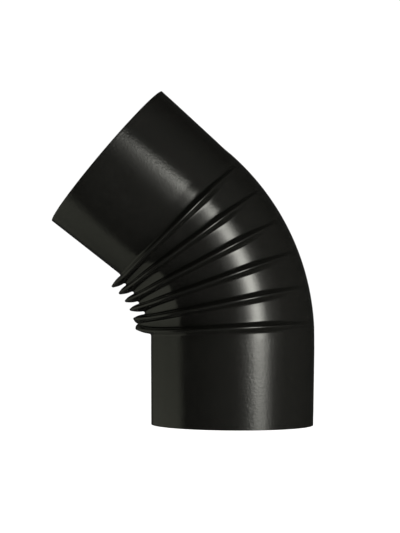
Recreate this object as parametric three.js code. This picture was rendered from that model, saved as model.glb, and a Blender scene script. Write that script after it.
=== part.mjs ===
// Pleated flue elbow, 150 mm, 50 degrees: a sheet-steel pipe bend for a stove.
//
// Millimetres, +Z up. The bend lies in the XZ plane. The spigot points straight down and stands
// on z = 0; the socket points up and towards -X. The outside of the bend faces +X.
//
// The elbow is three lengths of thin pipe: a straight spigot sleeve, a middle length that six
// folds pull round, and a straight socket sleeve. A girth weld inside the bore joins each pair,
// and each length has its own seam weld along the outside of the bend, where no fold crosses it.
//
// Angles round the pipe are counted from the outside of the bend, so 180 degrees is the inside
// of the bend, where the folds stand highest.
import * as THREE from 'three';
import { mergeVertices } from 'three/addons/utils/BufferGeometryUtils.js';

// Pipe
const PIPE_RADIUS = 75;            // outside of the straight sheet
const SHEET = 0.8;                 // sheet thickness
const SIDES = 36;                  // facets round the pipe

// Bend
const BEND_ANGLE = THREE.MathUtils.degToRad(50);
const FOLDS = 6;
const BEND_RADIUS = 150;           // of the pipe's centre line

// Straight lengths, from the centre of the nearest fold along the pipe's axis
const SPIGOT_LENGTH = 89;
const SOCKET_LENGTH = 93;
const SPIGOT_TAPER_LENGTH = 72;
const SPIGOT_RIM_RADIUS = 74.25;
const SOCKET_RIM_RADIUS = 78;
const SPIGOT_JOINT = 9;            // where the middle length ends, below the first fold
const SOCKET_JOINT = 16;           // and above the last one
const JOINT_GAP = 0.3;

// Folds. Each one takes up the sheet that its slice of the bend has to spare.
const FOLD_START = THREE.MathUtils.degToRad(27);  // no sheet to spare nearer the outside
const FOLD_SOFT_START = 0.6;       // how gently a fold sets in
const FOLD_HALF_WIDTH = 5.6;       // at the sides of the pipe
const FIN_HALF_WIDTH = 4;          // where they have narrowed, near the inside of the bend
const FINS_FROM = 0.35;            // share of the way inward where the folds begin to narrow
const TIP_WIDENING = 1.4;          // and they swell again at the very inside
const TIP_WIDENING_SHARPNESS = 60;
const FOLD_MIN_HALF_WIDTH = 3.2;   // where a fold dies out
const FOLD_FULL_SPARE = 4;         // the spare sheet that gives a fold its full width
const CREST_RADIUS = 1.3;
const ROOT_RADIUS = 1.5;
const FIN_BULGE = 0.5;             // the folds' flanks are a little round on the inside of the bend
const FOLD_FULLNESS = 0.97;        // how much of the spare sheet the folds' height takes up
const FOOT_SHIFT = 3.1;            // the folds slope off their bend planes, towards the socket
const TIP_LEAN = 2;                // and their tips lean that way too
const FOLD_OFFSETS = [-1.2, 0.2, 1.1, 0.8, 1.1, 0.1];  // each fold's own place along the pipe
const TIP_SHARPNESS = 20;          // how close to the inside of the bend the tips gather
const SLOT_RISES = [10.6, 1.8, 3.1, 2.4, 3];  // how shallow each slot is at the very inside
const SLOT_RISE_FROM = THREE.MathUtils.degToRad(148);

// Welds
const GIRTH_WELD_WIDTH = 5;
const GIRTH_WELD_HEIGHT = 1;
const SEAM_WELD_WIDTH = 4;
const SEAM_WELD_HEIGHT = 0.45;
const WELD_GAP = 0.06;

const FOLD_ANGLE = BEND_ANGLE / FOLDS;
const PLANE_SLOPE = Math.tan(FOLD_ANGLE / 2);
const FOLD_PITCH = 2 * BEND_RADIUS * PLANE_SLOPE;

const coat = new THREE.Color(0.035, 0.035, 0.033);

function coatMaterial(roughness) {
  return new THREE.MeshStandardMaterial({ color: coat, roughness, metalness: 0.3 });
}

// ---- The bend's centre line -------------------------------------------------------------

// A place on the centre line: a point, and the angle by which the pipe has turned towards -X.
function frameAt(point, turn) {
  const along = new THREE.Vector3(-Math.sin(turn), 0, Math.cos(turn));
  const outward = new THREE.Vector3(Math.cos(turn), 0, Math.sin(turn));
  return { point, turn, along, outward };
}

// The centres of the folds' bend planes, and the direction across each plane.
function foldPlanes() {
  const planes = [];
  const point = new THREE.Vector3(0, 0, SPIGOT_LENGTH);
  for (let i = 0; i < FOLDS; i += 1) {
    const before = frameAt(point.clone(), i * FOLD_ANGLE);
    const middle = frameAt(point.clone(), (i + 0.5) * FOLD_ANGLE);
    const after = frameAt(point.clone(), (i + 1) * FOLD_ANGLE);
    planes.push({ before, across: middle.along, after, offset: FOLD_OFFSETS[i] });
    point.addScaledVector(after.along, FOLD_PITCH);
  }
  return planes;
}

// A point of the pipe wall: `distance` along the axis, `radius` from it, `angle` round it.
function wallPoint(frame, distance, radius, angle) {
  return frame.point.clone()
    .addScaledVector(frame.along, distance)
    .addScaledVector(frame.outward, radius * Math.cos(angle))
    .add(new THREE.Vector3(0, radius * Math.sin(angle), 0));
}

const ringAngles = Array.from({ length: SIDES }, (_, i) => (2 * Math.PI * i) / SIDES);

// ---- One fold's section -----------------------------------------------------------------

// 0 on the outside of the bend, 1 on the inside.
function inwardShare(angle) {
  return (1 - Math.cos(angle)) / 2;
}

// How much longer a slice of the bend is at `angle` than where the folds start.
function spareSheet(angle) {
  const spare = PIPE_RADIUS * FOLD_ANGLE * Math.max(0, Math.cos(FOLD_START) - Math.cos(angle));
  return spare * spare / (spare + FOLD_SOFT_START);
}

function foldSize(angle, slotRise, offset) {
  const share = inwardShare(angle);
  const spare = spareSheet(angle);
  const narrowing = Math.max(0, (share - FINS_FROM) / (1 - FINS_FROM));
  const halfWidth = THREE.MathUtils.lerp(
    FOLD_MIN_HALF_WIDTH,
    THREE.MathUtils.lerp(FOLD_HALF_WIDTH, FIN_HALF_WIDTH, narrowing),
    Math.min(1, spare / FOLD_FULL_SPARE)) + TIP_WIDENING * share ** TIP_WIDENING_SHARPNESS;
  const riseShare = THREE.MathUtils.clamp(
    (share - inwardShare(SLOT_RISE_FROM)) / (1 - inwardShare(SLOT_RISE_FROM)), 0, 1);
  const tipShare = share ** TIP_SHARPNESS;
  return {
    height: FOLD_FULLNESS * Math.sqrt(spare * halfWidth + spare * spare / 4),
    root: slotRise * riseShare ** 2,
    halfWidth,
    bulge: FIN_BULGE * share ** 3,
    footShift: offset * (1 - tipShare) + FOOT_SHIFT * share,
    lean: TIP_LEAN * tipShare,
  };
}

// Half of a fold's section, from the crest down to the root: an arc over the crest, a flank
// that swells a little, and an arc into the root. `inset` moves the section in by the sheet's
// thickness.
function halfFold(size, inset) {
  const toRootX = size.halfWidth;
  const toRootY = ROOT_RADIUS + CREST_RADIUS - (size.height - size.root);
  const reach = Math.hypot(toRootX, toRootY);
  const swing = Math.asin(Math.min(1, (ROOT_RADIUS + CREST_RADIUS) / reach)) - Math.atan2(toRootY, toRootX);
  const crest = { x: 0, y: size.height - CREST_RADIUS, radius: CREST_RADIUS - inset };
  const root = { x: toRootX, y: size.root + ROOT_RADIUS, radius: ROOT_RADIUS + inset };
  const onCrest = (a) => [crest.x + crest.radius * Math.sin(a), crest.y + crest.radius * Math.cos(a)];
  const onRoot = (a) => [root.x - root.radius * Math.sin(a), root.y - root.radius * Math.cos(a)];
  const [top, foot] = [onCrest(swing), onRoot(swing)];
  const flank = [
    (top[0] + foot[0]) / 2 + size.bulge * Math.sin(swing),
    (top[1] + foot[1]) / 2 + size.bulge * Math.cos(swing),
  ];
  return [onCrest(0), top, flank, foot, onRoot(0)];
}

// One side of a fold as rings of points, crest first. `side` is -1 below the crest, 1 above it.
function foldRings(plane, side, slotRise, inset) {
  const frame = side < 0 ? plane.before : plane.after;
  const sections = ringAngles.map((angle) => {
    const size = foldSize(angle, slotRise, plane.offset);
    return halfFold(size, inset).map(([offset, height]) => {
      const radius = PIPE_RADIUS + height;
      const distance = side * (offset - radius * Math.cos(angle) * PLANE_SLOPE);
      const shift = size.footShift + size.lean * Math.max(0, height) / Math.max(size.height, 1);
      const footShare = offset / size.halfWidth;
      return wallPoint(frame, distance, radius, angle)
        .addScaledVector(plane.across, (1 - footShare) * shift)
        .addScaledVector(frame.along, footShare * shift);
    });
  });
  return sections[0].map((_, i) => sections.map((section) => section[i]));
}

function straightRing(frame, distance, inset) {
  return ringAngles.map((angle) => wallPoint(frame, distance, PIPE_RADIUS - inset, angle));
}

// ---- Geometry helpers -------------------------------------------------------------------

// Joins loops of points into one closed body. Closed chains run from the last loop back to the
// first; open ones are capped with a fan at each end.
function loft(loops, closedChain) {
  const count = loops[0].length;
  const positions = loops.flat().flatMap((p) => [p.x, p.y, p.z]);
  const triangles = [];
  const last = closedChain ? loops.length : loops.length - 1;
  for (let i = 0; i < last; i += 1) {
    const next = (i + 1) % loops.length;
    for (let j = 0; j < count; j += 1) {
      const k = (j + 1) % count;
      triangles.push(i * count + j, i * count + k, next * count + k);
      triangles.push(i * count + j, next * count + k, next * count + j);
    }
  }
  if (!closedChain) {
    const end = (loops.length - 1) * count;
    for (let j = 1; j < count - 1; j += 1) {
      triangles.push(0, j + 1, j);
      triangles.push(end, end + j, end + j + 1);
    }
  }
  const geometry = new THREE.BufferGeometry();
  geometry.setAttribute('position', new THREE.Float32BufferAttribute(positions, 3));
  geometry.setIndex(triangles);
  geometry.computeVertexNormals();
  return geometry;
}

// A ring turned round +Z from a closed outline of [radius, height] points.
function turned(outline) {
  const points = [...outline, outline[0]].map(([radius, height]) => new THREE.Vector2(radius, height));
  const geometry = new THREE.LatheGeometry(points, SIDES);
  geometry.deleteAttribute('normal');
  geometry.deleteAttribute('uv');
  geometry.rotateX(Math.PI / 2);
  const ring = mergeVertices(geometry);
  ring.computeVertexNormals();
  return ring;
}

function piece(name, geometry, roughness) {
  const mesh = new THREE.Mesh(geometry, coatMaterial(roughness));
  mesh.name = name;
  return mesh;
}

// ---- Pieces -----------------------------------------------------------------------------

function pleatedBend(planes) {
  const start = planes[0].before;
  const end = planes[FOLDS - 1].after;
  const wall = (inset) => {
    const rings = [straightRing(start, -SPIGOT_JOINT + JOINT_GAP / 2, inset)];
    planes.forEach((plane, i) => {
      const below = foldRings(plane, -1, SLOT_RISES[i - 1] ?? 0, inset);
      const above = foldRings(plane, 1, SLOT_RISES[i] ?? 0, inset);
      rings.push(...below.reverse(), ...above.slice(1));
    });
    rings.push(straightRing(end, SOCKET_JOINT - JOINT_GAP / 2, inset));
    return rings;
  };
  return piece('pleated_bend', loft([...wall(0), ...wall(SHEET).reverse()], true), 0.4);
}

function spigotSleeve() {
  const top = SPIGOT_LENGTH - SPIGOT_JOINT - JOINT_GAP / 2;
  return piece('spigot_sleeve', turned([
    [SPIGOT_RIM_RADIUS - SHEET, 0],
    [SPIGOT_RIM_RADIUS, 0],
    [PIPE_RADIUS, SPIGOT_TAPER_LENGTH],
    [PIPE_RADIUS, top],
    [PIPE_RADIUS - SHEET, top],
    [PIPE_RADIUS - SHEET, SPIGOT_TAPER_LENGTH],
  ]), 0.45);
}

// The socket sleeve's own axis starts at the last fold's centre.
function socketSleeve() {
  const bottom = SOCKET_JOINT + JOINT_GAP / 2;
  return piece('socket_sleeve', turned([
    [PIPE_RADIUS - SHEET, bottom],
    [PIPE_RADIUS, bottom],
    [SOCKET_RIM_RADIUS, SOCKET_LENGTH],
    [SOCKET_RIM_RADIUS - SHEET, SOCKET_LENGTH],
  ]), 0.45);
}

// A low bead round the inside of the bore, over the joint at height `joint`.
function girthWeld(name, joint) {
  const wall = PIPE_RADIUS - SHEET - WELD_GAP;
  const half = GIRTH_WELD_WIDTH / 2;
  return piece(name, turned([
    [wall, joint + half],
    [wall - 0.65 * GIRTH_WELD_HEIGHT, joint + 0.6 * half],
    [wall - GIRTH_WELD_HEIGHT, joint],
    [wall - 0.65 * GIRTH_WELD_HEIGHT, joint - 0.6 * half],
    [wall, joint - half],
  ]), 0.6);
}

// A flat bead along the outside of the bend, through points on the sheet's surface.
function seamWeld(name, stations) {
  const half = SEAM_WELD_WIDTH / 2;
  const section = [
    [-half, WELD_GAP],
    [-0.6 * half, WELD_GAP + 0.75 * SEAM_WELD_HEIGHT],
    [0, WELD_GAP + SEAM_WELD_HEIGHT],
    [0.6 * half, WELD_GAP + 0.75 * SEAM_WELD_HEIGHT],
    [half, WELD_GAP],
  ];
  const loops = stations.map(({ point, outward }) => section.map(([sideways, height]) => (
    point.clone().addScaledVector(outward, height).add(new THREE.Vector3(0, sideways, 0))
  )));
  return piece(name, loft(loops, false), 0.6);
}

function seamStation(frame, distance, radius) {
  return { point: wallPoint(frame, distance, radius, 0), outward: frame.outward };
}

function bendSeamStations(planes) {
  const start = planes[0].before;
  const end = planes[FOLDS - 1].after;
  const atFolds = planes.map((plane) => ({
    point: wallPoint(plane.before, PIPE_RADIUS * PLANE_SLOPE, PIPE_RADIUS, 0),
    outward: plane.before.outward.clone().add(plane.after.outward).normalize(),
  }));
  return [
    seamStation(start, -SPIGOT_JOINT + JOINT_GAP, PIPE_RADIUS),
    ...atFolds,
    seamStation(end, SOCKET_JOINT - JOINT_GAP, PIPE_RADIUS),
  ];
}

// ---- Assembly ---------------------------------------------------------------------------

const planes = foldPlanes();
const lastPlane = planes[FOLDS - 1].after;
const foot = frameAt(new THREE.Vector3(0, 0, 0), 0);

const socketEnd = new THREE.Group();
socketEnd.position.copy(lastPlane.point);
socketEnd.rotation.y = -BEND_ANGLE;
const upright = frameAt(new THREE.Vector3(0, 0, 0), 0);
socketEnd.add(
  socketSleeve(),
  girthWeld('socket_girth_weld', SOCKET_JOINT),
  seamWeld('socket_seam_weld', [
    seamStation(upright, SOCKET_JOINT + JOINT_GAP, PIPE_RADIUS),
    seamStation(upright, SOCKET_LENGTH - 1, SOCKET_RIM_RADIUS),
  ]),
);

const spigotEnd = new THREE.Group();
spigotEnd.add(
  spigotSleeve(),
  girthWeld('spigot_girth_weld', SPIGOT_LENGTH - SPIGOT_JOINT),
  seamWeld('spigot_seam_weld', [
    seamStation(foot, 1, SPIGOT_RIM_RADIUS),
    seamStation(foot, SPIGOT_TAPER_LENGTH, PIPE_RADIUS),
    seamStation(foot, SPIGOT_LENGTH - SPIGOT_JOINT - JOINT_GAP, PIPE_RADIUS),
  ]),
);

const elbow = new THREE.Group();
elbow.add(spigotEnd, pleatedBend(planes), seamWeld('bend_seam_weld', bendSeamStations(planes)), socketEnd);

// The origin is under the middle of the elbow's box, at the height of the spigot's rim.
elbow.updateMatrixWorld(true);
const middle = new THREE.Box3().setFromObject(elbow, true).getCenter(new THREE.Vector3());
elbow.position.x = -middle.x;

const part = new THREE.Group();
part.add(elbow);
part.updateMatrixWorld(true);

export default part;
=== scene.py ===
# Pleated flue elbow in satin black paint: the looks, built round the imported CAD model.
#
# Metres, +Z up. Angles round the pipe are counted from the outside of the bend, which faces +X.
import math

import bmesh
import bpy
import numpy as np
from mathutils import Matrix, Vector


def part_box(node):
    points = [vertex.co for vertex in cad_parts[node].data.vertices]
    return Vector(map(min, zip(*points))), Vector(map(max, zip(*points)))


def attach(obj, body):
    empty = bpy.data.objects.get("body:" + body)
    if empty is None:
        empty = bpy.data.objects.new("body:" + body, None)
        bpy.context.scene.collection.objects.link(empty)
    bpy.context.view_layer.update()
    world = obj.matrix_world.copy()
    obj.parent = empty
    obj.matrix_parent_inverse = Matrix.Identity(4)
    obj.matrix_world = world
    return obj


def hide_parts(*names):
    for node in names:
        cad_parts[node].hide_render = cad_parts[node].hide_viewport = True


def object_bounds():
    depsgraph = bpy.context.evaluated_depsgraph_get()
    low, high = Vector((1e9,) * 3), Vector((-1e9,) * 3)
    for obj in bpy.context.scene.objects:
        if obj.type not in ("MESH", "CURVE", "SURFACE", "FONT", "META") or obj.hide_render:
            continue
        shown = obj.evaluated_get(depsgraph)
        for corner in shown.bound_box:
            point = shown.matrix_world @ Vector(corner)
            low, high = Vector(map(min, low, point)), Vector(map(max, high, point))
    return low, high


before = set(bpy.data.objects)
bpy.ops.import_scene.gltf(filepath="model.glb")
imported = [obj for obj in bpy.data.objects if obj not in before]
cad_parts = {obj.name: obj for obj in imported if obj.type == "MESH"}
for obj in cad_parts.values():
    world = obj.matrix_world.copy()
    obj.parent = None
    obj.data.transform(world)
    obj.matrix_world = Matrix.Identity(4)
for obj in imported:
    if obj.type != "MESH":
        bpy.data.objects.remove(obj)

CAD_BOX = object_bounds()
MM = 0.001

# ---- Driving dimensions: the folds, and what the frame doesn't say ---------------------------

BEND_ANGLE = math.radians(50)
FOLDS = 6
BEND_RADIUS = 150 * MM
SHEET = 0.8 * MM
RIM_ROUNDNESS = 0.6                # of the cut edge: 1 is a full half round
RIM_POINTS = 9                     # round the cut edge
RIM_INSET = 0.5 * MM               # a ring this far inside each rim keeps its corner crisp
SPIGOT_JOINT = 9 * MM              # the bend's own straight ends, below the first fold
SOCKET_JOINT = 16 * MM             # and above the last one
JOINT_GAP = 0.3 * MM
SPIGOT_TAPER = 0.75 * MM           # the radius lost towards the spigot's rim
SPIGOT_TAPER_LENGTH = 72 * MM
SLEEVE_STATIONS = 25               # along a sleeve's wall

FOLD_START = math.radians(27)      # the folds begin this far round from the outside of the bend
FOLD_SOFT_START = 0.6 * MM         # spare sheet over which they ease in
FOLD_HALF_WIDTH = 5.6 * MM         # at the sides of the pipe
FIN_HALF_WIDTH = 4 * MM            # where they have narrowed, near the inside of the bend
FINS_FROM = 0.35
TIP_WIDENING = 1.4 * MM            # and they swell again at the very inside
TIP_WIDENING_SHARPNESS = 60
FOLD_MIN_HALF_WIDTH = 3.2 * MM
FOLD_FULL_SPARE = 4 * MM           # spare sheet from which a fold has its full width
CREST_RADIUS = 1.3 * MM
ROOT_RADIUS = 1.5 * MM
FIN_BULGE = 0.5 * MM               # how far the flanks swell at the inside of the bend
FIN_BULGE_SHARPNESS = 3
FOLD_FULLNESS = 0.97               # the share of the spare sheet that goes into a fold's height
FOOT_SHIFT = 3.1 * MM              # how far a fold's foot moves along the pipe on the inside
TIP_LEAN = 2 * MM                  # and how much further its tip leans
LEAN_MIN_HEIGHT = 1 * MM
FOLD_OFFSETS = [f * MM for f in (-1.2, 0.2, 1.1, 0.8, 1.1, 0.1)]  # off each fold's regular place
TIP_SHARPNESS = 20
SLOT_RISES = [r * MM for r in (10.6, 1.8, 3.1, 2.4, 3)]  # how far each gap's floor rises inside
SLOT_RISE_FROM = math.radians(148)

SIDES = 200                        # facets round the pipe
CREST_POINTS = 6                   # along half a fold's section
FLANK_POINTS = 6
FOOT_POINTS = 6
SLICE_STEPS = 5                    # from one fold to the next
EDGE_STEPS = (0, 0.02 * MM, 0.3 * MM)  # rings that keep a cut edge's corner crisp

GIRTH_WELD_WIDTH = 5 * MM
GIRTH_WELD_HEIGHT = 1 * MM
SEAM_WELD_WIDTH = 4 * MM
SEAM_WELD_HEIGHT = 0.45 * MM
SEAM_WELD_INSET = 1 * MM           # from the rims
WELD_GAP = 0.06 * MM               # between a bead and its wall
RIPPLE_PITCH = 1.9 * MM            # the weld pool's steps along a bead
RIPPLE_DEPTH = 0.3                 # as a share of the bead's height
RIPPLE_CURVE = 1.1 * MM            # how far each step bows along the bead
RIPPLE_SAMPLES = 6
BEAD_FULLNESS = 0.7                # the power of a bead's round section
BEAD_POINTS = 11                   # across a bead
BEAD_END = 5 * RIPPLE_SAMPLES      # stations over which a seam bead tapers off

FOLD_ANGLE = BEND_ANGLE / FOLDS
PLANE_SLOPE = math.tan(FOLD_ANGLE / 2)
FOLD_PITCH = 2 * BEND_RADIUS * PLANE_SLOPE

# ---- Places read from the frame --------------------------------------------------------------

spigot_low, spigot_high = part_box("spigot_sleeve")
socket_low, socket_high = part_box("socket_sleeve")
PIPE_RADIUS = (spigot_high.y - spigot_low.y) / 2
SOCKET_RIM_RADIUS = (socket_high.y - socket_low.y) / 2
SPIGOT_RIM_RADIUS = PIPE_RADIUS - SPIGOT_TAPER
AXIS_X = (spigot_low.x + spigot_high.x) / 2
FIRST_FOLD_Z = spigot_high.z + JOINT_GAP / 2 + SPIGOT_JOINT

ANGLES = np.linspace(0, 2 * math.pi, SIDES, endpoint=False)
COS = np.cos(ANGLES)


class Place:
    """A place on the pipe's centre line, and how far the pipe has turned there."""

    def __init__(self, point, turn):
        self.point = np.array(point, float)
        self.along = np.array([-math.sin(turn), 0, math.cos(turn)])
        self.outward = np.array([math.cos(turn), 0, math.sin(turn)])

    def ring(self, distance, radius, angles=ANGLES):
        """Points round the pipe, counted from the outside of the bend."""
        distance, radius, angles = np.broadcast_arrays(distance, radius, angles)
        points = self.point + distance[:, None] * self.along
        points = points + (radius * np.cos(angles))[:, None] * self.outward
        points[:, 1] += radius * np.sin(angles)
        return points


def fold_planes():
    """For each fold: the pipe before it, the direction across its plane, the pipe after it."""
    planes = []
    point = np.array([AXIS_X, 0, FIRST_FOLD_Z])
    for i in range(FOLDS):
        before = Place(point, i * FOLD_ANGLE)
        across = Place(point, (i + 0.5) * FOLD_ANGLE).along
        after = Place(point, (i + 1) * FOLD_ANGLE)
        planes.append((before, across, after, FOLD_OFFSETS[i]))
        point = point + FOLD_PITCH * after.along
    return planes


PLANES = fold_planes()
BEND_CENTRE = (AXIS_X - BEND_RADIUS, FIRST_FOLD_Z - FOLD_PITCH / 2)
FOOT = Place([AXIS_X, 0, spigot_low.z], 0)
SOCKET = PLANES[-1][2]
SOCKET_LENGTH = float(np.dot(
    np.array([socket_low.x + SOCKET_RIM_RADIUS * math.cos(BEND_ANGLE), 0,
              socket_high.z - SOCKET_RIM_RADIUS * math.sin(BEND_ANGLE)]) - SOCKET.point,
    SOCKET.along))

# ---- Mesh helpers ----------------------------------------------------------------------------


def grid_mesh(name, rings, closed_chain):
    """A smooth mesh from rings of points, each ring closed; the chain of rings may close too."""
    rings = np.asarray(rings)
    rows, count = rings.shape[:2]
    i = np.arange(rows if closed_chain else rows - 1)
    j = np.arange(count)
    here, there = np.meshgrid(i, j, indexing="ij")
    next_row, next_point = (here + 1) % rows, (there + 1) % count
    quads = np.stack([here * count + there, here * count + next_point,
                      next_row * count + next_point, next_row * count + there], -1).reshape(-1, 4)
    mesh = bpy.data.meshes.new(name)
    mesh.vertices.add(rows * count)
    mesh.vertices.foreach_set("co", rings.reshape(-1))
    mesh.loops.add(quads.size)
    mesh.loops.foreach_set("vertex_index", quads.reshape(-1).astype(np.int32))
    mesh.polygons.add(len(quads))
    mesh.polygons.foreach_set("loop_start", np.arange(0, quads.size, 4, dtype=np.int32))
    mesh.update(calc_edges=True)
    mesh.shade_smooth()
    mesh.validate()
    piece = bpy.data.objects.new(name, mesh)
    bpy.context.scene.collection.objects.link(piece)
    return piece


def rounded_rim(place, distance, outer_radius, direction):
    """Rings that carry the outside of the sheet round its cut edge to the inside."""
    half = SHEET / 2
    middle = outer_radius - half
    rings = []
    for angle in np.linspace(0, math.pi, RIM_POINTS):
        rounding = direction * half * RIM_ROUNDNESS * (math.sin(angle) - 1)
        rings.append(place.ring(distance + rounding, middle + half * math.cos(angle)))
    return rings


# ---- Folds -----------------------------------------------------------------------------------


def fold_sizes(slot_rise, offset):
    """How high and wide a fold stands at each angle round the pipe."""
    inward = (1 - COS) / 2
    spare = PIPE_RADIUS * FOLD_ANGLE * np.maximum(0, math.cos(FOLD_START) - COS)
    spare = spare * spare / (spare + FOLD_SOFT_START)
    full_width = np.interp(inward, [FINS_FROM, 1], [FOLD_HALF_WIDTH, FIN_HALF_WIDTH])
    half_width = (FOLD_MIN_HALF_WIDTH
                  + (full_width - FOLD_MIN_HALF_WIDTH) * np.minimum(1, spare / FOLD_FULL_SPARE)
                  + TIP_WIDENING * inward ** TIP_WIDENING_SHARPNESS)
    rise_start = (1 - math.cos(SLOT_RISE_FROM)) / 2
    rise = np.clip((inward - rise_start) / (1 - rise_start), 0, 1)
    tip = inward ** TIP_SHARPNESS
    height = FOLD_FULLNESS * np.sqrt(spare * half_width + spare * spare / 4)
    return {"height": height, "half_width": half_width,
            "root": slot_rise * rise ** 2, "bulge": FIN_BULGE * inward ** FIN_BULGE_SHARPNESS,
            "foot_shift": offset * (1 - tip) + FOOT_SHIFT * inward, "lean": TIP_LEAN * tip}


def fold_outline(size, inset):
    """Half a fold's section, crest first: an arc, a flank that swells, and an arc to the root."""
    width, root = size["half_width"], size["root"]
    drop = ROOT_RADIUS + CREST_RADIUS - (size["height"] - root)
    reach = np.hypot(width, drop)
    swing = np.arcsin(np.minimum(1, (ROOT_RADIUS + CREST_RADIUS) / reach)) - np.arctan2(drop, width)
    crest_r, root_r = CREST_RADIUS - inset, ROOT_RADIUS + inset
    crest_y, root_y = size["height"] - CREST_RADIUS, root + ROOT_RADIUS

    def swollen(point, share):
        bulge = size["bulge"] * math.sin(math.pi * share)
        return point[0] + bulge * np.sin(swing), point[1] + bulge * np.cos(swing)

    crest = [(crest_r * np.sin(swing * f), crest_y + crest_r * np.cos(swing * f))
             for f in np.linspace(0, 1, CREST_POINTS)]
    foot = [(width - root_r * np.sin(swing * f), root_y - root_r * np.cos(swing * f))
            for f in np.linspace(1, 0, FOOT_POINTS)]
    flank = [swollen([a + (b - a) * f for a, b in zip(crest[-1], foot[0])], f)
             for f in np.linspace(0, 1, FLANK_POINTS + 2)[1:-1]]
    return crest + flank + foot


def fold_rings(plane, side, slot_rise, inset):
    """One side of a fold, crest first."""
    before, across, after, offset = plane
    place = before if side < 0 else after
    size = fold_sizes(slot_rise, offset)
    rings = []
    for distance, height in fold_outline(size, inset):
        radius = PIPE_RADIUS + height
        lean_share = np.maximum(0, height) / np.maximum(size["height"], LEAN_MIN_HEIGHT)
        shift = size["foot_shift"] + size["lean"] * lean_share
        foot_share = distance / size["half_width"]
        ring = place.ring(side * (distance - radius * COS * PLANE_SLOPE), radius)
        ring = ring + ((1 - foot_share) * shift)[:, None] * across
        ring = ring + (foot_share * shift)[:, None] * place.along
        rings.append(ring)
    return rings


def between(first, second, steps):
    """Rings spaced evenly between two rings, leaving both out."""
    return [first + (second - first) * i / steps for i in range(1, steps)]


def bend_wall(inset):
    """One face of the bend's sheet, from its lower end to its upper; inset is 0 outside."""
    start, end = PLANES[0][0], PLANES[-1][2]
    rises = [0] + SLOT_RISES + [0]
    rings = [start.ring(-SPIGOT_JOINT + d, PIPE_RADIUS - inset) for d in EDGE_STEPS]
    for i, plane in enumerate(PLANES):
        below = fold_rings(plane, -1, rises[i], inset)[::-1]
        above = fold_rings(plane, 1, rises[i + 1], inset)[1:]
        rings += between(rings[-1], below[0], SLICE_STEPS) + below + above
    top = [end.ring(SOCKET_JOINT - d, PIPE_RADIUS - inset) for d in reversed(EDGE_STEPS)]
    return rings + between(rings[-1], top[0], SLICE_STEPS) + top


# ---- Pieces ----------------------------------------------------------------------------------


def rounded_bend(rings):
    """Eases the corners between the slices of the bend into one round curve."""
    rings = np.array(rings)
    x, z = rings[..., 0] - BEND_CENTRE[0], rings[..., 2] - BEND_CENTRE[1]
    turn = np.arctan2(z, x)
    off_middle = turn - np.round(turn / FOLD_ANGLE) * FOLD_ANGLE
    ease = np.where((turn > 0) & (turn < BEND_ANGLE), np.cos(off_middle), 1)
    rings[..., 0] = BEND_CENTRE[0] + x * ease
    rings[..., 2] = BEND_CENTRE[1] + z * ease
    return rings


def pleated_bend():
    return grid_mesh("bend_skin", rounded_bend(bend_wall(0) + bend_wall(SHEET)[::-1]), True)


def sleeve_rings(place, stations):
    """The outside from joint to rim, round the rim, and back inside; stations are (distance, radius)."""
    outside = [place.ring(d, r) for d, r in stations[:-1]]
    inside = [place.ring(d, r - SHEET) for d, r in reversed(stations[:-1])]
    last, radius = stations[-1]
    direction = np.sign(last - stations[0][0])
    return outside + rounded_rim(place, last, radius, direction) + inside


def spigot_sleeve():
    top = FIRST_FOLD_Z - SPIGOT_JOINT - spigot_low.z
    stations = [(top - d, PIPE_RADIUS) for d in EDGE_STEPS]
    for share in np.linspace(0, 1, SLEEVE_STATIONS):
        stations.append((SPIGOT_TAPER_LENGTH * (1 - share), PIPE_RADIUS - SPIGOT_TAPER * share))
    stations.insert(-1, (RIM_INSET, SPIGOT_RIM_RADIUS))
    rings = sleeve_rings(FOOT, stations)
    return grid_mesh("spigot_skin", rings[::-1], True)


def socket_sleeve():
    flare = SOCKET_RIM_RADIUS - PIPE_RADIUS
    start = SOCKET_JOINT + EDGE_STEPS[-1]
    stations = [(SOCKET_JOINT + d, PIPE_RADIUS) for d in EDGE_STEPS[:-1]]
    for share in np.linspace(0, 1, SLEEVE_STATIONS):
        stations.append((start + (SOCKET_LENGTH - start) * share, PIPE_RADIUS + flare * share))
    stations.insert(-1, (SOCKET_LENGTH - RIM_INSET, SOCKET_RIM_RADIUS))
    return grid_mesh("socket_skin", sleeve_rings(SOCKET, stations), True)


# ---- Welds -----------------------------------------------------------------------------------


def bead_height(across, along):
    """A bead's height as a share of its full height; across runs -1 to 1, along is in metres."""
    phase = (along + RIPPLE_CURVE * across ** 2) / RIPPLE_PITCH
    step = phase - np.floor(phase)
    return (1 - across ** 2) ** BEAD_FULLNESS * (1 - RIPPLE_DEPTH * step ** 2)


def girth_weld(name, place, distance):
    """A rippled bead round the inside of the bore, over a joint."""
    wall = PIPE_RADIUS - SHEET - WELD_GAP
    ripples = round(2 * math.pi * wall / RIPPLE_PITCH)
    angles = np.linspace(0, 2 * math.pi, ripples * RIPPLE_SAMPLES, endpoint=False)
    along = angles / (2 * math.pi) * ripples * RIPPLE_PITCH
    rings = [place.ring(distance, wall, angles)]
    for across in np.linspace(-1, 1, BEAD_POINTS):
        height = GIRTH_WELD_HEIGHT * bead_height(across, along)
        rings.append(place.ring(distance + across * GIRTH_WELD_WIDTH / 2, wall - height, angles))
    return grid_mesh(name, rings, True)


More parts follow.
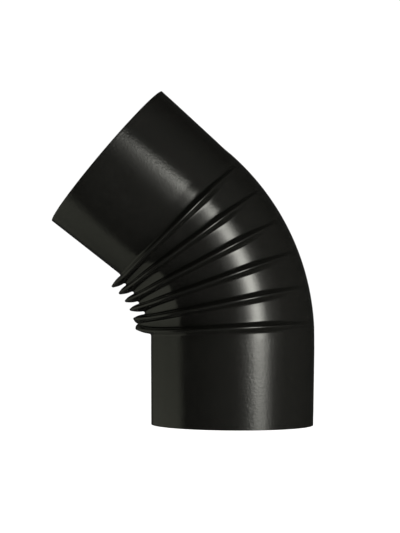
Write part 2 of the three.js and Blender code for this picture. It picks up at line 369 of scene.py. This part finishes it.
def seam_weld(name, stations):
    """A rippled bead along the outside of the bend, through (place, distance, radius) stations."""
    across = np.linspace(-1, 1, BEAD_POINTS)
    rings = []
    for i, (place, distance, radius) in enumerate(stations):
        left = min(i, len(stations) - 1 - i) + 0.5
        full = math.sqrt(min(1, left / BEAD_END))
        height = SEAM_WELD_HEIGHT * full * bead_height(across, i * RIPPLE_PITCH / RIPPLE_SAMPLES)
        angles = across * full * SEAM_WELD_WIDTH / 2 / radius
        top = place.ring(distance, radius + WELD_GAP + height, angles)
        base = place.ring(distance, radius + WELD_GAP / 2, angles)
        rings.append(np.concatenate([top, base[::-1]]))
    return grid_mesh(name, rings, False)


def straight_stations(place, start, end, start_radius, end_radius):
    """Stations for a seam along a straight wall."""
    count = round((end - start) / RIPPLE_PITCH * RIPPLE_SAMPLES)
    return [(place, start + (end - start) * share, start_radius + (end_radius - start_radius) * share)
            for share in np.linspace(0, 1, count)]


def bend_stations():
    """Round the outside of the bend, then up its straight end."""
    low_turn = (FIRST_FOLD_Z - SPIGOT_JOINT - BEND_CENTRE[1]) / (BEND_RADIUS + PIPE_RADIUS)
    length = (BEND_ANGLE - low_turn) * (BEND_RADIUS + PIPE_RADIUS)
    stations = []
    for turn in np.linspace(low_turn, BEND_ANGLE, round(length / RIPPLE_PITCH * RIPPLE_SAMPLES)):
        point = [BEND_CENTRE[0] + BEND_RADIUS * math.cos(turn), 0,
                 BEND_CENTRE[1] + BEND_RADIUS * math.sin(turn)]
        stations.append((Place(point, turn), 0, PIPE_RADIUS))
    end = straight_stations(SOCKET, FOLD_PITCH / 2, SOCKET_JOINT - JOINT_GAP, PIPE_RADIUS, PIPE_RADIUS)
    return stations + end[1:]


def weld_pieces():
    """Each weld's fine bead, with the CAD node that it stands for."""
    joint = FIRST_FOLD_Z - SPIGOT_JOINT - spigot_low.z
    spigot_seam = straight_stations(FOOT, SEAM_WELD_INSET, SPIGOT_TAPER_LENGTH,
                                    SPIGOT_RIM_RADIUS, PIPE_RADIUS)
    spigot_seam += straight_stations(FOOT, SPIGOT_TAPER_LENGTH, joint - JOINT_GAP,
                                     PIPE_RADIUS, PIPE_RADIUS)[1:]
    socket_seam = straight_stations(SOCKET, SOCKET_JOINT + JOINT_GAP, SOCKET_LENGTH - SEAM_WELD_INSET,
                                    PIPE_RADIUS, SOCKET_RIM_RADIUS)
    return [(girth_weld("spigot_girth_bead", FOOT, joint), "spigot_girth_weld"),
            (girth_weld("socket_girth_bead", SOCKET, SOCKET_JOINT), "socket_girth_weld"),
            (seam_weld("spigot_seam_bead", spigot_seam), "spigot_seam_weld"),
            (seam_weld("bend_seam_bead", bend_stations()), "bend_seam_weld"),
            (seam_weld("socket_seam_bead", socket_seam), "socket_seam_weld")]


# ---- Coats -----------------------------------------------------------------------------------


MIX_FIRST, MIX_SECOND = 6, 7       # a Mix node's colour inputs
MIX_RESULT = 2                     # and its colour output


class Nodes:
    """Short ways to add nodes to one material."""

    def __init__(self, material):
        material.use_nodes = True
        self.tree = material.node_tree
        self.shader = self.tree.nodes["Principled BSDF"]
        self.place = self.add("ShaderNodeTexCoord").outputs["Object"]

    def add(self, kind, **settings):
        node = self.tree.nodes.new(kind)
        for name, value in settings.items():
            setattr(node, name, value)
        return node

    def link(self, output, socket):
        self.tree.links.new(output, socket)

    def noise(self, size, detail=2):
        """Noise whose features are about `size` across."""
        noise = self.add("ShaderNodeTexNoise")
        noise.inputs["Scale"].default_value = 1 / size
        noise.inputs["Detail"].default_value = detail
        self.link(self.place, noise.inputs["Vector"])
        return noise.outputs["Fac"]

    def spread(self, value, from_low, from_high, to_low=0, to_high=1):
        """A value's range from_low to from_high, carried to another range."""
        node = self.add("ShaderNodeMapRange")
        for name, number in (("From Min", from_low), ("From Max", from_high),
                             ("To Min", to_low), ("To Max", to_high)):
            node.inputs[name].default_value = number
        self.link(value, node.inputs["Value"])
        return node.outputs["Result"]

    def combine(self, operation, first, second):
        node = self.add("ShaderNodeMath", operation=operation)
        for socket, value in zip(node.inputs, (first, second)):
            if isinstance(value, (int, float)):
                socket.default_value = value
            else:
                self.link(value, socket)
        return node.outputs[0]

    def mix(self, share, first, second):
        node = self.add("ShaderNodeMix", data_type="RGBA")
        self.link(share, node.inputs["Factor"])
        for socket, value in zip((node.inputs[MIX_FIRST], node.inputs[MIX_SECOND]), (first, second)):
            if isinstance(value, tuple):
                socket.default_value = (*value, 1)
            else:
                self.link(value, socket)
        return node.outputs[MIX_RESULT]

    def bump(self, height, depth, normal=None):
        node = self.add("ShaderNodeBump")
        node.inputs["Distance"].default_value = depth
        self.link(height, node.inputs["Height"])
        if normal is not None:
            self.link(normal, node.inputs["Normal"])
        return node.outputs["Normal"]


PAINT = (0.0043, 0.0043, 0.0037)
PAINT_DUSTY = (0.0090, 0.0089, 0.0078)
PAINT_RUBBED = (0.030, 0.029, 0.026)
WELD_PAINT = (0.0056, 0.0055, 0.0050)
CLOUD = 38 * MM                    # slow changes in the coat
SMUDGE = 7 * MM
DENT = 26 * MM                     # the rolled sheet is never quite round
PEEL = 1.9 * MM                    # the paint's orange peel
GRAIN = 0.6 * MM                   # and its fine powder grain
SCUFF = 2.2 * MM
CLOUD_RANGE = (0.3, 0.7)           # the part of each noise that is spread from none to full
SMUDGE_RANGE = (0.35, 0.65)
SCUFF_RANGE = (0.42, 0.68)
SPECK_RANGE = (0.15, 0.40)
GRAIN_RANGE = (0.3, 0.7)
EDGE_SHARPNESS = (0.53, 0.62)      # pointiness from which an edge is rubbed
CLOUD_GLOSS = 0.012                # what each adds to the roughness, or takes off it
SMUDGE_GLOSS = (-0.006, 0.01)
GRAIN_GLOSS = (-0.02, 0.02)
WORN_GLOSS = 0.15


def rubbed_edges(nodes, rubbed):
    """Where the coat is worn: scuffs along sharp edges."""
    sharp = nodes.spread(nodes.add("ShaderNodeNewGeometry").outputs["Pointiness"], *EDGE_SHARPNESS)
    scuff = nodes.spread(nodes.noise(SCUFF, detail=5), *SCUFF_RANGE)
    return nodes.combine("MULTIPLY", nodes.combine("MULTIPLY", sharp, scuff), rubbed)


def coat_gloss(nodes, roughness, cloud, smudge, grain, wear):
    """Roughness that drifts with the coat, and rises where it is worn."""
    drift = nodes.spread(cloud, 0, 1, roughness - CLOUD_GLOSS, roughness + CLOUD_GLOSS)
    gloss = nodes.combine("ADD", drift, nodes.spread(smudge, 0, 1, *SMUDGE_GLOSS))
    gloss = nodes.combine("ADD", gloss, nodes.spread(grain, *GRAIN_RANGE, *GRAIN_GLOSS))
    return nodes.combine("ADD", gloss, nodes.combine("MULTIPLY", wear, WORN_GLOSS))


def powder_coat(name, paint, roughness, dent_depth, peel_depth, grain_depth, rubbed):
    """Satin stove paint: cloudy gloss, orange peel, powder grain, and edges rubbed a little."""
    material = bpy.data.materials.new(name)
    nodes = Nodes(material)
    cloud = nodes.spread(nodes.noise(CLOUD, detail=3), *CLOUD_RANGE)
    smudge = nodes.spread(nodes.noise(SMUDGE, detail=4), *SMUDGE_RANGE)
    peel = nodes.noise(PEEL)
    grain = nodes.noise(GRAIN, detail=3)
    wear = rubbed_edges(nodes, rubbed)
    speck = nodes.spread(nodes.combine("MULTIPLY", peel, grain), *SPECK_RANGE)
    dusty = nodes.combine("MAXIMUM", nodes.combine("MULTIPLY", cloud, smudge), speck)
    nodes.link(nodes.mix(wear, nodes.mix(dusty, paint, PAINT_DUSTY), PAINT_RUBBED),
               nodes.shader.inputs["Base Color"])
    nodes.link(coat_gloss(nodes, roughness, cloud, smudge, grain, wear), nodes.shader.inputs["Roughness"])
    bumps = nodes.bump(nodes.noise(DENT, detail=1), dent_depth)
    bumps = nodes.bump(grain, grain_depth, nodes.bump(peel, peel_depth, bumps))
    nodes.link(bumps, nodes.shader.inputs["Normal"])
    return material


def socket_coat():
    return powder_coat("socket_coat", PAINT, roughness=0.12, dent_depth=0.12 * MM,
                       peel_depth=0.085 * MM, grain_depth=0.05 * MM, rubbed=0.5)


def spigot_coat():
    """The same paint, a little coarser: its grain shows less in this end's upright reflection."""
    return powder_coat("spigot_coat", PAINT, roughness=0.112, dent_depth=0.12 * MM,
                       peel_depth=0.126 * MM, grain_depth=0.07 * MM, rubbed=0.5)


def bend_coat():
    """Pulled smooth by the folding, so its grain is finer than the sleeves'."""
    return powder_coat("bend_coat", PAINT, roughness=0.13, dent_depth=0.06 * MM,
                       peel_depth=0.035 * MM, grain_depth=0.012 * MM, rubbed=0.35)


def weld_coat():
    return powder_coat("weld_coat", WELD_PAINT, roughness=0.30, dent_depth=0.02 * MM,
                       peel_depth=0.02 * MM, grain_depth=0.01 * MM, rubbed=0.3)


def dress(piece, node, material):
    """Gives a piece its coat, hangs it under the root body, and hides the CAD node it stands for."""
    piece.data.materials.append(material)
    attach(piece, "root")
    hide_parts(node)


WELD_COAT = weld_coat()
dress(pleated_bend(), "pleated_bend", bend_coat())
dress(spigot_sleeve(), "spigot_sleeve", spigot_coat())
dress(socket_sleeve(), "socket_sleeve", socket_coat())
for bead, node in weld_pieces():
    dress(bead, node, WELD_COAT)

# ---- Studio ----------------------------------------------------------------------------------


def fill_ramp(ramp, stops):
    """Grey stops, each a (position, value) pair."""
    elements = ramp.color_ramp.elements
    elements[0].position, elements[1].position = stops[0][0], stops[-1][0]
    for position, _ in stops[1:-1]:
        elements.new(position)
    for element, (_, value) in zip(elements, stops):
        element.color = (value, value, value, 1)


def ramp_product(nodes, links, coords, strength, ramps):
    """The strength, times each ramp at its own axis of the coordinates."""
    split = nodes.new("ShaderNodeSeparateXYZ")
    links.new(coords, split.inputs[0])
    product = nodes.new("ShaderNodeValue")
    product.outputs[0].default_value = strength
    for axis, stops in ramps.items():
        ramp = nodes.new("ShaderNodeValToRGB")
        fill_ramp(ramp, stops)
        links.new(split.outputs[axis], ramp.inputs[0])
        multiply = nodes.new("ShaderNodeMath")
        multiply.operation = "MULTIPLY"
        links.new(ramp.outputs[0], multiply.inputs[0])
        links.new(product.outputs[0], multiply.inputs[1])
        product = multiply
    return product.outputs[0]


def ramp_emission(name, colour, strength, least, ramps):
    """Emission that fades across a panel: ramps maps the axis of the panel to its stops."""
    material = bpy.data.materials.new(name)
    material.use_nodes = True
    nodes, links = material.node_tree.nodes, material.node_tree.links
    nodes.clear()
    output = nodes.new("ShaderNodeOutputMaterial")
    emission = nodes.new("ShaderNodeEmission")
    emission.inputs["Color"].default_value = (*colour, 1)
    links.new(emission.outputs[0], output.inputs[0])
    coords = nodes.new("ShaderNodeTexCoord").outputs["UV"]
    total = nodes.new("ShaderNodeMath")
    total.inputs[1].default_value = least
    links.new(ramp_product(nodes, links, coords, strength, ramps), total.inputs[0])
    links.new(total.outputs[0], emission.inputs["Strength"])
    return material


def staged(name, points, faces, material, uvs=None):
    """A piece of the studio: points and faces, with one UV per point."""
    mesh = bpy.data.meshes.new(name)
    mesh.from_pydata(points, [], faces)
    if uvs:
        layer = mesh.uv_layers.new(name="across")
        for loop, target in zip(mesh.loops, layer.data):
            target.uv = uvs[loop.vertex_index]
    mesh.materials.append(material)
    piece = bpy.data.objects.new(name, mesh)
    bpy.context.scene.collection.objects.link(piece)
    return piece


def share_stops(stops, low, high):
    """Ramp stops in metres as shares of the way from low to high."""
    return [((at - low) / (high - low), value) for at, value in stops]


KEY_COLOUR = (1.0, 1.0, 0.92)
KEY_STRENGTH = 12.8
KEY_AZIMUTH = math.radians(33)     # to the right of the camera side
KEY_DISTANCE = 1.0
KEY_HALF_WIDTH = 0.8
KEY_LEAN = 0.22                    # sideways per metre of height
KEY_CENTRED_AT = 0.06              # the height at which it is centred
KEY_LOW, KEY_HIGH = -0.30, 0.84
KEY_LEAST = 0.11                   # as bright as the room behind it
KEY_ACROSS = [(-0.8, 0), (-0.55, 0.012), (-0.30, 0.095), (-0.17, 0.39), (-0.06, 0.96), (0.05, 1.0),
              (0.14, 0.54), (0.26, 0.10), (0.45, 0.03), (0.8, 0.004)]
KEY_UP = [(-0.30, 0.15), (-0.05, 0.33), (0.02, 0.45), (0.07, 0.66), (0.17, 0.83), (0.27, 0.93),
          (0.37, 0.85), (0.48, 0.73), (0.58, 0.60), (0.66, 0.44), (0.70, 0.30), (0.715, 0.16),
          (0.73, 0.08), (0.76, 0.03), (0.84, 0)]


def key_light():
    """A tall soft box on the right, brightest half way up and leaning a little to the left."""
    out = Vector((math.sin(KEY_AZIMUTH), -math.cos(KEY_AZIMUTH), 0))
    side = Vector((math.cos(KEY_AZIMUTH), math.sin(KEY_AZIMUTH), 0))
    up = Vector((0, 0, 1)) - side * KEY_LEAN
    middle = out * KEY_DISTANCE + Vector((AXIS_X, 0, KEY_CENTRED_AT))
    corners = [middle + side * across * KEY_HALF_WIDTH + up * (height - KEY_CENTRED_AT)
               for across, height in ((-1, KEY_LOW), (1, KEY_LOW), (1, KEY_HIGH), (-1, KEY_HIGH))]
    glow = ramp_emission("key_glow", KEY_COLOUR, KEY_STRENGTH, KEY_LEAST, {
        "X": share_stops(KEY_ACROSS, -KEY_HALF_WIDTH, KEY_HALF_WIDTH),
        "Y": share_stops(KEY_UP, KEY_LOW, KEY_HIGH)})
    light = staged("key_light", corners, [(0, 1, 2, 3)], glow, [(0, 0), (1, 0), (1, 1), (0, 1)])
    light.visible_camera = False


SIDE_COLOUR = (0.97, 1.0, 0.80)
SIDE_STRENGTH = 1.0
SIDE_X = AXIS_X - 0.7
SIDE_BACK = 1.65
SIDE_FRONT = [(-1.3, 0.5), (-0.65, 0.0), (-0.48, -0.10), (-0.39, -0.21), (-0.27, -0.23),
              (-0.10, -0.20), (0.0, -0.165), (0.9, -0.165)]
SIDE_UP = [(-1.3, 0.30), (-0.5, 0.32), (-0.43, 0.40), (-0.36, 0.44), (-0.27, 0.54), (-0.10, 0.58),
           (-0.02, 0.46), (0.05, 0.37), (0.9, 0.36)]
SIDE_BACKWARD = [(0, 1), (0.12, 0.85), (0.45, 0.33), (1, 0.1)]


def side_wall():
    """A pale wall on the left, which shows as a band with a crisp edge: its front, a broken line."""
    points, uvs = [], []
    bottom, top = SIDE_FRONT[0][0], SIDE_FRONT[-1][0]
    for z, front in SIDE_FRONT:
        points += [(SIDE_X, front, z), (SIDE_X, SIDE_BACK, z)]
        up = (z - bottom) / (top - bottom)
        uvs += [(0, up), (1, up)]
    faces = [(2 * row, 2 * row + 1, 2 * row + 3, 2 * row + 2) for row in range(len(SIDE_FRONT) - 1)]
    glow = ramp_emission("side_glow", SIDE_COLOUR, SIDE_STRENGTH, 0, {
        "X": SIDE_BACKWARD, "Y": share_stops(SIDE_UP, bottom, top)})
    staged("side_wall", points, faces, glow, uvs).visible_camera = False


ROOM_COLOUR = (1.0, 1.0, 0.93)
ROOM_ROUND = [(-90, 0.01), (-68, 0.012), (-50, 0.015), (-30, 0.055), (-10, 0.10), (20, 0.12), (50, 0.17),
              (80, 0.12), (110, 0.055), (135, 0.02), (180, 0.02), (270, 0.02)]


def room_light():
    """The dim room, by degrees to the right of the camera side."""
    world = bpy.data.worlds.new("room")
    bpy.context.scene.world = world
    world.use_nodes = True
    nodes, links = world.node_tree.nodes, world.node_tree.links
    coords = nodes.new("ShaderNodeTexCoord")
    round_z = nodes.new("ShaderNodeTexGradient")
    round_z.gradient_type = "RADIAL"
    links.new(coords.outputs["Generated"], round_z.inputs["Vector"])
    ramp = nodes.new("ShaderNodeValToRGB")
    fill_ramp(ramp, share_stops(ROOM_ROUND, ROOM_ROUND[0][0], ROOM_ROUND[-1][0]))
    links.new(round_z.outputs["Fac"], ramp.inputs[0])
    tint = nodes.new("ShaderNodeMix")
    tint.data_type = "RGBA"
    tint.blend_type = "MULTIPLY"
    tint.inputs["Factor"].default_value = 1
    tint.inputs[MIX_SECOND].default_value = (*ROOM_COLOUR, 1)
    links.new(ramp.outputs["Color"], tint.inputs[MIX_FIRST])
    links.new(tint.outputs[MIX_RESULT], nodes["Background"].inputs["Color"])


WHITE = 1.02                       # the backdrop and the floor show as plain white
BACKDROP_RADIUS = 12.0
BACKDROP_SEGMENTS = 48
BACKDROP_RINGS = 24
FLOOR_REACH = 6.0
FLOOR_GREY = 0.8


def backdrop():
    """A white dome that only the camera sees."""
    shape = bmesh.new()
    bmesh.ops.create_uvsphere(shape, u_segments=BACKDROP_SEGMENTS, v_segments=BACKDROP_RINGS,
                              radius=BACKDROP_RADIUS)
    points = [v.co.copy() for v in shape.verts]
    faces = [[v.index for v in face.verts] for face in shape.faces]
    shape.free()
    material = bpy.data.materials.new("backdrop_white")
    material.use_nodes = True
    nodes = material.node_tree.nodes
    nodes.clear()
    emission, output = nodes.new("ShaderNodeEmission"), nodes.new("ShaderNodeOutputMaterial")
    emission.inputs["Strength"].default_value = WHITE
    material.node_tree.links.new(emission.outputs[0], output.inputs[0])
    dome = staged("backdrop", points, faces, material)
    for kind in ("diffuse", "glossy", "transmission", "shadow", "volume_scatter"):
        setattr(dome, "visible_" + kind, False)


def floor():
    """The pale floor, lit so evenly that it has no shadow and no horizon."""
    z = CAD_BOX[0].z
    corners = [(x * FLOOR_REACH, y * FLOOR_REACH, z) for x, y in ((-1, -1), (1, -1), (1, 1), (-1, 1))]
    material = bpy.data.materials.new("floor_white")
    material.use_nodes = True
    shader = material.node_tree.nodes["Principled BSDF"]
    shader.inputs["Base Color"].default_value = (FLOOR_GREY, FLOOR_GREY, FLOOR_GREY, 1)
    shader.inputs["Roughness"].default_value = 1
    shader.inputs["Specular IOR Level"].default_value = 0
    shader.inputs["Emission Color"].default_value = (1, 1, 1, 1)
    shader.inputs["Emission Strength"].default_value = WHITE
    staged("floor", corners, [(0, 1, 2, 3)], material).visible_glossy = False


key_light()
side_wall()
room_light()
backdrop()
floor()

# ---- Camera ----------------------------------------------------------------------------------

# Where the two straight ends' centre lines would meet.
CORNER = Vector((AXIS_X, 0, FIRST_FOLD_Z + BEND_RADIUS * (math.tan(BEND_ANGLE / 2) - PLANE_SLOPE)))
CAMERA_FROM_CORNER = Vector((-0.08098, -1.5, -0.03766))  # fitted to the photograph's outline
CAMERA_YAW = math.radians(-1.932)
CAMERA_PITCH = math.radians(1.319)
CAMERA_ROLL = math.radians(-0.329)
CAMERA_SENSOR = 36
CAMERA_LENS = 110.26


def camera():
    """The photograph's view: almost level, from in front of the bend."""
    data = bpy.data.cameras.new("camera")
    data.sensor_width = CAMERA_SENSOR
    data.lens = CAMERA_LENS
    eye = bpy.data.objects.new("camera", data)
    turn = (Matrix.Rotation(CAMERA_YAW, 4, "Z") @ Matrix.Rotation(CAMERA_PITCH, 4, "X")
            @ Matrix.Rotation(CAMERA_ROLL, 4, "Y") @ Matrix.Rotation(math.pi / 2, 4, "X"))
    eye.matrix_world = Matrix.Translation(CORNER + CAMERA_FROM_CORNER) @ turn
    bpy.context.scene.collection.objects.link(eye)
    bpy.context.scene.camera = eye


camera()
bpy.context.scene.view_settings.view_transform = "Standard"
